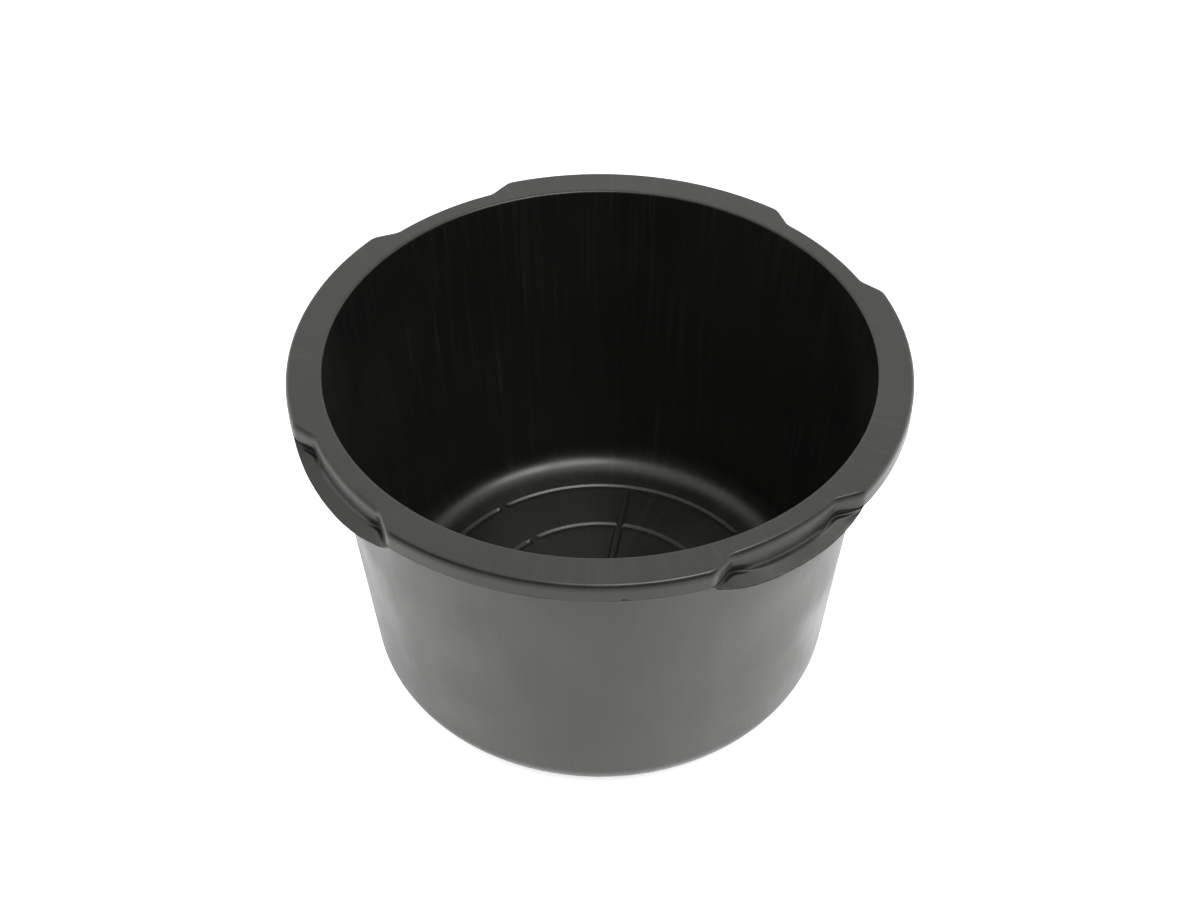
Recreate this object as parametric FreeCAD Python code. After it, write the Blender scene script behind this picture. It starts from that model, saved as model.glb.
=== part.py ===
import FreeCAD, Part
import math
import os

# Round mortar mixing tub: one thick black plastic moulding, open at the top.
# Frame: the origin is on the ground at the tub's centre line, +Z is up, and the four
# hand grips lie on +X, +Y, -X and -Y. Millimetres.
# Each region of the moulding is written as its own solid. Regions meet face to face.

# Overall
overall_height = 408.0
rim_outer_r = 330.0

# Tapered wall: radii of its outer face, carried on to the rim's top and the floor's underside
wall_top_r = 295.5
wall_base_r = 260.5
wall_thickness = 3.5
bend_inner_r = 34.0

# Flat rim and its turned-down skirt
rim_thickness = 3.5
skirt_thickness = 3.0
skirt_depth = 22.5
rim_edge_round = 3.0
mouth_edge_round = 3.0

# Hand grips: the rim steps in, and a sloping lip below it hangs past the skirt
grip_count = 4
grip_inset = 14.5
grip_half_angle = 16.2
grip_inner_half_angle = 11.7
grip_inner_round = 9.0
grip_outer_round = 6.0
grip_drop = 40.0
grip_bow_half_angle = 16.3
grip_lip_rise = 7.5
grip_lip_rise_fall = 0.45
grip_lip_thickness = 3.0
grip_end_margin = 1.3

# Floor: two rings and four spokes, pressed in from above and standing proud below
foot_depth = 3.0
groove_width = 8.0
groove_depth = 2.5
rib_side = 4.0
ring_inner_r = 141.5
ring_outer_r = 209.5
land_width = 10.0

# Worked out from the sizes above
floor_underside = foot_depth
floor_top = floor_underside + wall_thickness
rim_underside = overall_height - rim_thickness
draft = math.atan((wall_top_r - wall_base_r) / (overall_height - floor_underside))
bend_outer_r = bend_inner_r + wall_thickness
bend_centre_r = wall_base_r - bend_outer_r * math.tan((math.pi / 2 - draft) / 2)
bend_centre_z = floor_underside + bend_outer_r
rib_width = groove_width + 2 * rib_side
rim_inner_r = wall_top_r - wall_thickness / math.cos(draft)
grip_step = 360.0 / grip_count
grip_region_half_angle = grip_half_angle + grip_end_margin
lowest_cut = overall_height - 2 * grip_drop
UP = FreeCAD.Vector(0, 0, 1)
CENTRE = FreeCAD.Vector(0, 0, 0)


def polar(radius, degrees, z=0.0):
    """Point at a radius and an angle from +X, anticlockwise."""
    angle = math.radians(degrees)
    return FreeCAD.Vector(radius * math.cos(angle), radius * math.sin(angle), z)


def section_point(radius, z):
    """Point in the XZ half plane that the round regions are turned from."""
    return FreeCAD.Vector(radius, 0, z)


def turned(edges):
    """Solid turned from a closed section in the XZ half plane."""
    return Part.Face(Part.Wire(edges)).revolve(CENTRE, UP, 360)


def turned_polygon(points):
    """Solid turned from a polygon in the XZ half plane."""
    return turned(Part.makePolygon(points + points[:1]).Edges)


def prism(points, bottom, top):
    """Upright solid over a polygon."""
    face = Part.Face(Part.makePolygon(points + points[:1]))
    face.translate(FreeCAD.Vector(0, 0, bottom))
    return face.extrude(FreeCAD.Vector(0, 0, top - bottom))


def disc(radius, bottom, top):
    """Upright cylinder on the centre line."""
    return Part.makeCylinder(radius, top - bottom, FreeCAD.Vector(0, 0, bottom))


def wedge(centre_angle, half_angle, bottom, top):
    """Upright wedge from the centre line out past the rim."""
    reach = 2 * rim_outer_r
    corners = [CENTRE, polar(reach, centre_angle - half_angle), polar(reach, centre_angle),
               polar(reach, centre_angle + half_angle)]
    return prism(corners, bottom, top)


def turn(shape, degrees):
    """Copy of a shape turned about the centre line."""
    copy = shape.copy()
    copy.rotate(CENTRE, UP, degrees)
    return copy


def upright_edges(shape, low_r, high_r):
    """Straight upright edges between two radii."""
    found = []
    for edge in shape.Edges:
        first = edge.Vertexes[0].Point
        last = edge.Vertexes[-1].Point
        radius = math.hypot(first.x, first.y)
        if math.hypot(first.x - last.x, first.y - last.y) < 0.01 and low_r < radius < high_r:
            found.append(edge)
    return found


def bend_point(radius, angle):
    """Point on a circle about the bend's centre; 0 points straight down at the floor."""
    return section_point(bend_centre_r + radius * math.sin(angle),
                         bend_centre_z - radius * math.cos(angle))


def wall_outer_r(z):
    """Radius of the wall's outer face at a height."""
    return wall_top_r - (overall_height - z) * math.tan(draft)


def wall_inner_r(z):
    """Radius of the wall's inner face at a height."""
    return wall_outer_r(z) - wall_thickness / math.cos(draft)


def make_base_bend():
    """Round bend that joins the floor to the wall."""
    sweep = math.pi / 2 - draft
    outer = Part.Arc(bend_point(bend_outer_r, 0), bend_point(bend_outer_r, sweep / 2),
                     bend_point(bend_outer_r, sweep))
    inner = Part.Arc(bend_point(bend_inner_r, sweep), bend_point(bend_inner_r, sweep / 2),
                     bend_point(bend_inner_r, 0))
    edges = [outer.toShape(),
             Part.makeLine(bend_point(bend_outer_r, sweep), bend_point(bend_inner_r, sweep)),
             inner.toShape(),
             Part.makeLine(bend_point(bend_inner_r, 0), bend_point(bend_outer_r, 0))]
    return turned(edges)


def make_side_wall():
    """Tapered wall from the bend up to the rim's underside."""
    sweep = math.pi / 2 - draft
    return turned_polygon([bend_point(bend_inner_r, sweep), bend_point(bend_outer_r, sweep),
                           section_point(wall_outer_r(rim_underside), rim_underside),
                           section_point(wall_inner_r(rim_underside), rim_underside)])


def ring_band(radius, width, bottom, top):
    """Flat ring, centred on a radius."""
    return disc(radius + width / 2, bottom, top).cut(disc(radius - width / 2, bottom, top))


def parted_by_lands(ring, bottom, top):
    """Ring with the gaps that the lands leave in it, in line with the grips."""
    for index in range(grip_count):
        bar = Part.makeBox(bend_centre_r, land_width, top - bottom,
                           FreeCAD.Vector(0, -land_width / 2, bottom))
        ring = ring.cut(turn(bar, index * grip_step))
    return ring


def spoke_bars(width, bottom, top):
    """Bars from the centre to the outer ring, halfway between the grips."""
    bars = []
    for index in range(grip_count):
        bar = Part.makeBox(ring_outer_r, width, top - bottom, FreeCAD.Vector(0, -width / 2, bottom))
        bars.append(turn(bar, (index + 0.5) * grip_step))
    return bars[0].multiFuse(bars[1:]).removeSplitter()


def make_floor_panel():
    """Flat floor with the rings and spokes pressed into its top."""
    groove_floor = floor_top - groove_depth
    panel = disc(bend_centre_r, floor_underside, floor_top)
    for radius in (ring_inner_r, ring_outer_r):
        groove = ring_band(radius, groove_width, groove_floor, floor_top)
        panel = panel.cut(parted_by_lands(groove, groove_floor, floor_top))
    return panel.cut(spoke_bars(groove_width, groove_floor, floor_top))


def make_foot_ring(radius):
    """Ring of the underside, which the tub stands on."""
    return ring_band(radius, rib_width, 0, foot_depth)


def make_foot_spokes(foot_rings):
    """Spokes of the underside, parted by the rings and ending at the outer one."""
    return spoke_bars(rib_width, 0, foot_depth).cut(foot_rings).common(disc(ring_outer_r, 0, foot_depth))


def notch_outline(bottom, top):
    """Block that steps the rim in over the grip on +X."""
    inner_r = rim_outer_r - grip_inset
    side_run = polar(rim_outer_r, grip_half_angle) - polar(inner_r, grip_inner_half_angle)
    outer_left = polar(rim_outer_r, grip_half_angle) + side_run
    outer_right = FreeCAD.Vector(outer_left.x, -outer_left.y, 0)
    inner_arc = Part.Arc(polar(inner_r, -grip_inner_half_angle), polar(inner_r, 0),
                         polar(inner_r, grip_inner_half_angle))
    far_x = rim_outer_r + grip_inset
    edges = [inner_arc.toShape(),
             Part.makeLine(polar(inner_r, grip_inner_half_angle), outer_left),
             Part.makeLine(outer_left, FreeCAD.Vector(far_x, outer_left.y, 0)),
             Part.makeLine(FreeCAD.Vector(far_x, outer_left.y, 0),
                           FreeCAD.Vector(far_x, outer_right.y, 0)),
             Part.makeLine(FreeCAD.Vector(far_x, outer_right.y, 0), outer_right),
             Part.makeLine(outer_right, polar(inner_r, -grip_inner_half_angle))]
    face = Part.Face(Part.Wire(edges))
    face.translate(FreeCAD.Vector(0, 0, bottom))
    return face.extrude(FreeCAD.Vector(0, 0, top - bottom))


def make_rim_block(bottom, top):
    """Upright block with the rim's outline: round, stepped in over each grip."""
    block = disc(rim_outer_r, bottom, top)
    for index in range(grip_count):
        block = block.cut(turn(notch_outline(bottom, top), index * grip_step))
    middle_r = rim_outer_r - grip_inset / 2
    block = block.makeFillet(grip_inner_round, upright_edges(block, 0, middle_r))
    return block.makeFillet(grip_outer_round, upright_edges(block, middle_r, 2 * rim_outer_r))


def make_rim_flange():
    """Flat top of the rim, from the mouth to the outline."""
    mouth = turned_polygon([section_point(0, rim_underside),
                            section_point(wall_inner_r(rim_underside), rim_underside),
                            section_point(rim_inner_r, overall_height),
                            section_point(0, overall_height)])
    flange = make_rim_block(rim_underside, overall_height).cut(mouth)
    outline = []
    lip = []
    for edge in flange.Edges:
        box = edge.BoundBox
        if box.ZMin > overall_height - 0.01:
            point = edge.Vertexes[0].Point
            on_outline = math.hypot(point.x, point.y) > rim_outer_r - grip_inset - 0.1
            (outline if on_outline else lip).append(edge)
    flange = flange.makeFillet(rim_edge_round, outline)
    lip = [edge for edge in flange.Edges
           if abs(edge.BoundBox.XMax - rim_inner_r) < 0.01 and edge.BoundBox.ZMin > rim_underside + 0.1]
    return flange.makeFillet(mouth_edge_round, lip)


def make_hanging_band():
    """Upright band that follows the rim's outline below its flat top."""
    block = make_rim_block(lowest_cut, rim_underside)
    outline = [face for face in block.Faces if face.BoundBox.ZMax < lowest_cut + 0.01][0]
    inset = outline.makeOffset2D(-skirt_thickness)
    return block.cut(inset.extrude(FreeCAD.Vector(0, 0, rim_underside - lowest_cut)))


def lip_height(radius, angle):
    """Height of the lip's underside: its edge bows down, and it rises inwards to the grip's wall."""
    along = min(1.0, abs(angle) / grip_bow_half_angle)
    bow = (1 - along ** 2.2) ** 0.65
    edge_z = overall_height - skirt_depth - (grip_drop - skirt_depth) * bow
    rise = grip_lip_rise * (1 - grip_lip_rise_fall * along ** 2)
    return edge_z + rise * (rim_outer_r - radius) / grip_inset


def make_space_under_lip():
    """Everything below the sloping lip of the grip on +X."""
    inner_r = rim_outer_r - 2 * grip_inset
    outer_r = rim_outer_r + grip_inset
    steps = 16
    sections = []
    for index in range(steps + 1):
        angle = -math.cos(math.pi * index / steps) * grip_region_half_angle
        corners = [polar(inner_r, angle, lip_height(inner_r, angle)),
                   polar(outer_r, angle, lip_height(outer_r, angle)),
                   polar(outer_r, angle, lowest_cut - grip_drop),
                   polar(inner_r, angle, lowest_cut - grip_drop)]
        sections.append(Part.makePolygon(corners + corners[:1]))
    return Part.makeLoft(sections, True, True)


def make_hand_grip(band):
    """Hand grip on +X: the stepped-in wall, its slanted ends and the sloping lip."""
    below = make_space_under_lip()
    raised = below.copy()
    raised.translate(FreeCAD.Vector(0, 0, grip_lip_thickness))
    region = wedge(0, grip_region_half_angle, lowest_cut, rim_underside)
    wall = band.common(region).cut(below)
    step = disc(rim_outer_r, lowest_cut, rim_underside).cut(make_rim_block(lowest_cut, rim_underside))
    lip = step.common(wedge(0, grip_half_angle - grip_end_margin / 2, lowest_cut, rim_underside))
    lip = lip.common(raised).cut(below)
    return wall.fuse(lip).removeSplitter()


def make_rim_skirt(band):
    """Skirt between two grips, centred halfway between +X and +Y."""
    half_angle = grip_step / 2 - grip_region_half_angle
    return band.common(wedge(grip_step / 2, half_angle, overall_height - skirt_depth, rim_underside))


def export(name, shape):
    """Write one node."""
    solids = shape.Solids
    result = solids[0] if len(solids) == 1 else Part.makeCompound(solids)
    result.exportStep("parts/" + name + ".step")
    box = result.BoundBox
    print(name, "solids", len(solids), "valid", result.isValid(), "volume", round(result.Volume),
          "box", [round(value, 2) for value in (box.XMin, box.YMin, box.ZMin, box.XMax, box.YMax, box.ZMax)])


os.makedirs("parts", exist_ok=True)

foot_ring_inner = make_foot_ring(ring_inner_r)
foot_ring_outer = make_foot_ring(ring_outer_r)
export("floor_panel", make_floor_panel())
export("foot_ring_inner", foot_ring_inner)
export("foot_ring_outer", foot_ring_outer)
export("foot_spokes", make_foot_spokes(foot_ring_inner.fuse(foot_ring_outer)))
export("base_bend", make_base_bend())
export("side_wall", make_side_wall())
export("rim_flange", make_rim_flange())

hanging_band = make_hanging_band()
hand_grip = make_hand_grip(hanging_band)
rim_skirt = make_rim_skirt(hanging_band)
for number in range(grip_count):
    export("hand_grip_" + str(number + 1), turn(hand_grip, number * grip_step))
    export("rim_skirt_" + str(number + 1), turn(rim_skirt, number * grip_step))
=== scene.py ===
"""Round mortar mixing tub: one thick black plastic moulding, standing open on a pale floor.

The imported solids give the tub's frame. Every region of the moulding gets a finished mesh in its
place: turned regions come from one Geometry Nodes lathe, the rim's skirt and grips are swept from
a cross-section that changes round the rim, and the floor is a polar mesh that bends into its
grooves. Lengths are metres and angles are radians, measured anticlockwise from +X.
"""
import logging
import math
from dataclasses import dataclass, field
from enum import Enum

import bpy
import numpy as np
from bpy.types import Material, Mesh, NodeSocket, NodeTree, Object
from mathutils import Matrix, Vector


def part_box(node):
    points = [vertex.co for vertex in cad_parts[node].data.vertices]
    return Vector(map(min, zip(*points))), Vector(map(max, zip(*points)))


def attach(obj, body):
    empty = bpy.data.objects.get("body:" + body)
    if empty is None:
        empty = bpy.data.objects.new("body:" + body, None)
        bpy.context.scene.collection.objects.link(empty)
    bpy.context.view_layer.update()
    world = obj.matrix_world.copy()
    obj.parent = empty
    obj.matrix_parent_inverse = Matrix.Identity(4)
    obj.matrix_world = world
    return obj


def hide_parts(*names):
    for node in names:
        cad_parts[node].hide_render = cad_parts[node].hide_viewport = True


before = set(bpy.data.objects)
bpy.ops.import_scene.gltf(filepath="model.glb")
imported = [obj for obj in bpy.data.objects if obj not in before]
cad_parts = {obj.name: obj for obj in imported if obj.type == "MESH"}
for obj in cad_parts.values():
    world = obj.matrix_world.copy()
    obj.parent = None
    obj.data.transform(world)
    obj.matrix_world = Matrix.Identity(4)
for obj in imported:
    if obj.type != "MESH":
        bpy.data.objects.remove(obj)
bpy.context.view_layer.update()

BODY = "root"
MM = 0.001
LOG = logging.getLogger("mixing_tub")


class Face(Enum):
    """Which finish a face of the moulding takes: the number is its material slot."""

    OUTSIDE = 0
    INSIDE = 1


# ---------------------------------------------------------------------------------------------
# Sizes
# ---------------------------------------------------------------------------------------------


@dataclass(frozen=True)
class TubSizes:
    """Driving sizes of the moulding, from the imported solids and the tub's own wall sizes."""

    height: float
    rim_r: float
    rim_underside: float
    skirt_bottom: float
    lip_bottom: float
    floor_underside: float
    floor_top: float
    floor_r: float
    ring_inner_r: float
    ring_outer_r: float
    wall_top_r: float = 295.5 * MM
    wall_base_r: float = 260.5 * MM
    bend_inner_r: float = 34 * MM
    skirt_thickness: float = 3 * MM
    rib_width: float = 16 * MM
    grip_count: int = 4

    @classmethod
    def from_frame(cls) -> "TubSizes":
        """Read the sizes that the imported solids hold.

        Returns:
            The tub's sizes.
        """
        flange_low, flange_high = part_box("rim_flange")
        grip_low, grip_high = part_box("hand_grip_1")
        skirt_low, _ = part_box("rim_skirt_1")
        panel_low, panel_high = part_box("floor_panel")
        rib_half = cls.rib_width / 2
        return cls(
            height=flange_high.z,
            rim_r=grip_high.x,
            rim_underside=flange_low.z,
            skirt_bottom=skirt_low.z,
            lip_bottom=grip_low.z,
            floor_underside=panel_low.z,
            floor_top=panel_high.z,
            floor_r=panel_high.x,
            ring_inner_r=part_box("foot_ring_inner")[1].x - rib_half,
            ring_outer_r=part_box("foot_ring_outer")[1].x - rib_half,
        )

    @property
    def wall_thickness(self) -> float:
        """Thickness of the floor, the bend and the wall."""
        return self.floor_top - self.floor_underside

    @property
    def taper(self) -> float:
        """Sideways run of the wall per unit of height."""
        return (self.wall_top_r - self.wall_base_r) / (self.height - self.floor_underside)

    @property
    def draft(self) -> float:
        """Wall's lean from the upright."""
        return math.atan(self.taper)

    @property
    def bend_centre(self) -> tuple[float, float]:
        """Centre that the base bend turns about.

        Returns:
            Its radius and height.
        """
        outer_r = self.bend_inner_r + self.wall_thickness
        tangent = outer_r * math.tan((math.pi / 2 - self.draft) / 2)
        return self.wall_base_r - tangent, self.floor_underside + outer_r

    @property
    def grip_step(self) -> float:
        """Angle from one grip to the next."""
        return math.tau / self.grip_count

    def wall_outer_r(self, z: float) -> float:
        """Radius of the wall's outer face at a height."""
        return self.wall_top_r - (self.height - z) * self.taper

    def wall_inner_r(self, z: float) -> float:
        """Radius of the wall's inner face at a height."""
        return self.wall_outer_r(z) - self.wall_thickness / math.cos(self.draft)


# ---------------------------------------------------------------------------------------------
# Node trees
# ---------------------------------------------------------------------------------------------


class Graph:
    """Short hand for adding and joining nodes in one tree."""

    def __init__(self, tree: NodeTree) -> None:
        """Keep the tree that is being built."""
        self.tree = tree

    def node(self, kind: str, feeds: dict[str | int, object] | None = None,
             **settings: object) -> bpy.types.Node:
        """Add a node, set its properties and feed its inputs.

        Args:
            kind: Blender's name for the node type.
            feeds: A socket or a plain value for each input, by the input's name or number.
            settings: Property names and their values.

        Returns:
            The new node.
        """
        node = self.tree.nodes.new(kind)
        for name, value in settings.items():
            setattr(node, name, value)
        for key, value in (feeds or {}).items():
            self.feed(node.inputs[key], value)
        return node

    def feed(self, target: NodeSocket, value: object) -> None:
        """Link a socket to another, or set its value.

        Args:
            target: Input socket.
            value: An output socket, or a plain value.
        """
        if isinstance(value, NodeSocket):
            self.tree.links.new(value, target)
        else:
            target.default_value = value

    def math(self, operation: str, *values: object, clamp: bool = False) -> NodeSocket:
        """Add a Math node and return its result."""
        feeds = dict(enumerate(values))
        return self.node("ShaderNodeMath", feeds, operation=operation, use_clamp=clamp).outputs[0]

    def vector(self, operation: str, first: object, second: object = (0.0, 0.0, 0.0)
               ) -> NodeSocket:
        """Add a Vector Math node.

        Args:
            operation: The node's operation.
            first: First vector.
            second: Second vector, or the number to scale by.

        Returns:
            The result's socket.
        """
        node = self.node("ShaderNodeVectorMath", operation=operation)
        self.feed(node.inputs[0], first)
        self.feed(node.inputs["Scale" if operation == "SCALE" else 1], second)
        return node.outputs["Value"] if operation in ("LENGTH", "DOT_PRODUCT") else node.outputs[0]

    def combine(self, x: object = 0.0, y: object = 0.0, z: object = 0.0) -> NodeSocket:
        """Join three numbers into a vector."""
        return self.node("ShaderNodeCombineXYZ", {0: x, 1: y, 2: z}).outputs[0]

    def parts(self, vector: object) -> bpy.types.NodeOutputs:
        """Split a vector into its three numbers."""
        return self.node("ShaderNodeSeparateXYZ", {0: vector}).outputs

    def noise(self, vector: object, scale: object, detail: float, roughness: float = 0.5
              ) -> NodeSocket:
        """Add a Noise Texture.

        Args:
            vector: Coordinates.
            scale: Scale, a socket or a number.
            detail: Number of octaves.
            roughness: How strong the finer octaves are.

        Returns:
            The noise's value, about 0.5 on average.
        """
        feeds = {"Vector": vector, "Scale": scale, "Detail": detail, "Roughness": roughness}
        return self.node("ShaderNodeTexNoise", feeds).outputs[0]

    def span(self, value: object, low: object, high: object, out_low: float = 0.0,
             out_high: float = 1.0) -> NodeSocket:
        """Map a value's range on to another, smoothly and without overshoot.

        Args:
            value: Value to map.
            low: Value that gives out_low.
            high: Value that gives out_high.
            out_low: Result at low.
            out_high: Result at high.

        Returns:
            The mapped value.
        """
        feeds = {"Value": value, "From Min": low, "From Max": high, "To Min": out_low,
                 "To Max": out_high}
        return self.node("ShaderNodeMapRange", feeds, interpolation_type="SMOOTHSTEP").outputs[0]

    def named(self, name: str) -> NodeSocket:
        """Read a number that the geometry's points carry."""
        feeds = {"Name": name}
        return self.node("GeometryNodeInputNamedAttribute", feeds, data_type="FLOAT").outputs["Attribute"]

    def realize(self, geometry: NodeSocket) -> NodeSocket:
        """Turn instances into plain geometry."""
        return self.node("GeometryNodeRealizeInstances", {0: geometry}).outputs[0]

    def dress(self, mesh: NodeSocket, finish: NodeSocket,
              selection: object = True) -> NodeSocket:
        """Set the material of a mesh, or of the selected part of it."""
        feeds = {"Geometry": mesh, "Selection": selection, "Material": finish}
        return self.node("GeometryNodeSetMaterial", feeds).outputs[0]


def new_group(name: str, kind: str, inputs: list[tuple[str, str, object]],
              outputs: list[tuple[str, str]]
              ) -> tuple[Graph, bpy.types.NodeOutputs, bpy.types.NodeInputs]:
    """Start a node group with named sockets.

    Args:
        name: The group's name.
        kind: ShaderNodeTree or GeometryNodeTree.
        inputs: Name, socket type and default of each input.
        outputs: Name and socket type of each output.

    Returns:
        The graph, what it is given and what it gives back.
    """
    tree = bpy.data.node_groups.new(name, kind)
    for label, socket_type, default in inputs:
        socket = tree.interface.new_socket(label, in_out="INPUT", socket_type=socket_type)
        if default is not None:
            socket.default_value = default
    for label, socket_type in outputs:
        tree.interface.new_socket(label, in_out="OUTPUT", socket_type=socket_type)
    graph = Graph(tree)
    return graph, graph.node("NodeGroupInput").outputs, graph.node("NodeGroupOutput").inputs


FLOAT = "NodeSocketFloat"
COUNT = "NodeSocketInt"
VECTOR = "NodeSocketVector"
GEOMETRY = "NodeSocketGeometry"
MATERIAL = "NodeSocketMaterial"


class ShaderGroups:
    """The surface effects that the finishes share, each built once."""

    def __init__(self) -> None:
        """Build every group."""
        self.grain = self._mould_grain()
        self.streaks = self._drawn_streaks()
        self.scuffs = self._scuff_marks()
        self.specks = self._dust_specks()
        self.wear = self._edge_wear()

    @staticmethod
    def _mould_grain() -> NodeTree:
        """Fine pebbled grain of a spark-eroded mould, with softer swells under it.

        Returns:
            The group.
        """
        graph, given, out = new_group(
            "mould_grain", "ShaderNodeTree",
            [("Vector", VECTOR, None), ("Pebble Scale", FLOAT, 900.0), ("Swell Scale", FLOAT, 9.0),
             ("Pebble Height", FLOAT, 0.5), ("Swell Height", FLOAT, 0.5)],
            [("Height", FLOAT), ("Mottle", FLOAT)])
        pebble = graph.noise(given["Vector"], given["Pebble Scale"], detail=2.0, roughness=0.6)
        swell = graph.noise(given["Vector"], given["Swell Scale"], detail=3.0, roughness=0.45)
        raised = graph.math("MULTIPLY", pebble, given["Pebble Height"])
        graph.feed(out["Height"], graph.math("MULTIPLY_ADD", swell, given["Swell Height"], raised))
        graph.feed(out["Mottle"], graph.span(swell, low=0.3, high=0.7))
        return graph.tree

    @staticmethod
    def _drawn_streaks() -> NodeTree:
        """Streaks that run up the wall and across the rim, as the plastic was drawn.

        Returns:
            The group.
        """
        graph, given, out = new_group(
            "drawn_streaks", "ShaderNodeTree",
            [("Vector", VECTOR, None), ("Around", FLOAT, 20.0), ("Along", FLOAT, 3.0)],
            [("Streak", FLOAT)])
        flat = graph.vector("MULTIPLY", given["Vector"], (1.0, 1.0, 0.0))
        around = graph.vector("SCALE", graph.vector("NORMALIZE", flat), given["Around"])
        run = graph.math("ADD", graph.vector("LENGTH", flat), graph.parts(given["Vector"])[2])
        lift = graph.combine(z=graph.math("MULTIPLY", run, given["Along"]))
        place = graph.vector("ADD", around, lift)
        graph.feed(out["Streak"], graph.noise(place, scale=1.0, detail=3.0, roughness=0.55))
        return graph.tree

    @staticmethod
    def _scuff_marks() -> NodeTree:
        """Thin pale scratches in two directions, broken into patches.

        Returns:
            The group.
        """
        graph, given, out = new_group(
            "scuff_marks", "ShaderNodeTree",
            [("Vector", VECTOR, None), ("Scale", FLOAT, 60.0), ("Patch Scale", FLOAT, 7.0),
             ("Coverage", FLOAT, 0.5)],
            [("Mask", FLOAT)])
        bare_limit, limit_drop, patch_edge = 0.78, 0.3, 0.12
        line_half, tilt_share = 0.012, 0.6
        patch = graph.noise(given["Vector"], given["Patch Scale"], detail=2.0)
        limit = graph.math("SUBTRACT", bare_limit, graph.math("MULTIPLY", given["Coverage"], limit_drop))
        patch = graph.span(patch, limit, graph.math("ADD", limit, patch_edge))
        lines: object = 0.0
        for turn, squeeze in ((0.5, 14.0), (-0.9, 18.0)):
            turned = graph.node("ShaderNodeMapping", {
                "Vector": given["Vector"], "Rotation": (turn, turn * tilt_share, turn),
                "Scale": (1.0, squeeze, 1.0)}).outputs[0]
            value = graph.math("SUBTRACT", graph.noise(turned, given["Scale"], detail=1.0), 0.5)
            value = graph.span(graph.math("ABSOLUTE", value), low=line_half, high=0.0)
            lines = graph.math("MAXIMUM", lines, value)
        graph.feed(out["Mask"], graph.math("MULTIPLY", lines, patch, clamp=True))
        return graph.tree

    @staticmethod
    def _dust_specks() -> NodeTree:
        """Grey film and specks on what faces up.

        Returns:
            The group.
        """
        graph, given, out = new_group(
            "dust_specks", "ShaderNodeTree",
            [("Vector", VECTOR, None), ("Film", FLOAT, 0.3), ("Speck Scale", FLOAT, 160.0),
             ("Speck Share", FLOAT, 0.1)],
            [("Mask", FLOAT)])
        normal = graph.node("ShaderNodeNewGeometry").outputs["Normal"]
        up = graph.span(graph.parts(normal)[2], low=0.3, high=0.95)
        cloud = graph.noise(given["Vector"], scale=11.0, detail=5.0, roughness=0.6)
        film = graph.math("MULTIPLY", graph.span(cloud, low=0.35, high=0.75), given["Film"])
        cells = graph.node("ShaderNodeTexVoronoi", {
            "Vector": given["Vector"], "Scale": given["Speck Scale"]}, feature="F1")
        dot = graph.span(cells.outputs["Distance"], low=0.16, high=0.08)
        draw = graph.node("ShaderNodeSeparateColor", {0: cells.outputs["Color"]}).outputs[0]
        dot = graph.math("MULTIPLY", dot, graph.math("LESS_THAN", draw, given["Speck Share"]))
        mask = graph.math("MULTIPLY", graph.math("MAXIMUM", film, dot), up, clamp=True)
        graph.feed(out["Mask"], mask)
        return graph.tree

    @staticmethod
    def _edge_wear() -> NodeTree:
        """Edges rubbed smooth and pale, from the mesh's own edge attribute.

        Returns:
            The group.
        """
        graph, given, out = new_group(
            "edge_wear", "ShaderNodeTree",
            [("Vector", VECTOR, None), ("Edge", FLOAT, 0.0), ("Amount", FLOAT, 0.5)],
            [("Mask", FLOAT)])
        broken = graph.noise(given["Vector"], scale=42.0, detail=4.0, roughness=0.65)
        worn = graph.math("MULTIPLY", given["Edge"], graph.span(broken, low=0.38, high=0.66))
        graph.feed(out["Mask"], graph.math("MULTIPLY", worn, given["Amount"], clamp=True))
        return graph.tree


# ---------------------------------------------------------------------------------------------
# Finishes
# ---------------------------------------------------------------------------------------------


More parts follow.
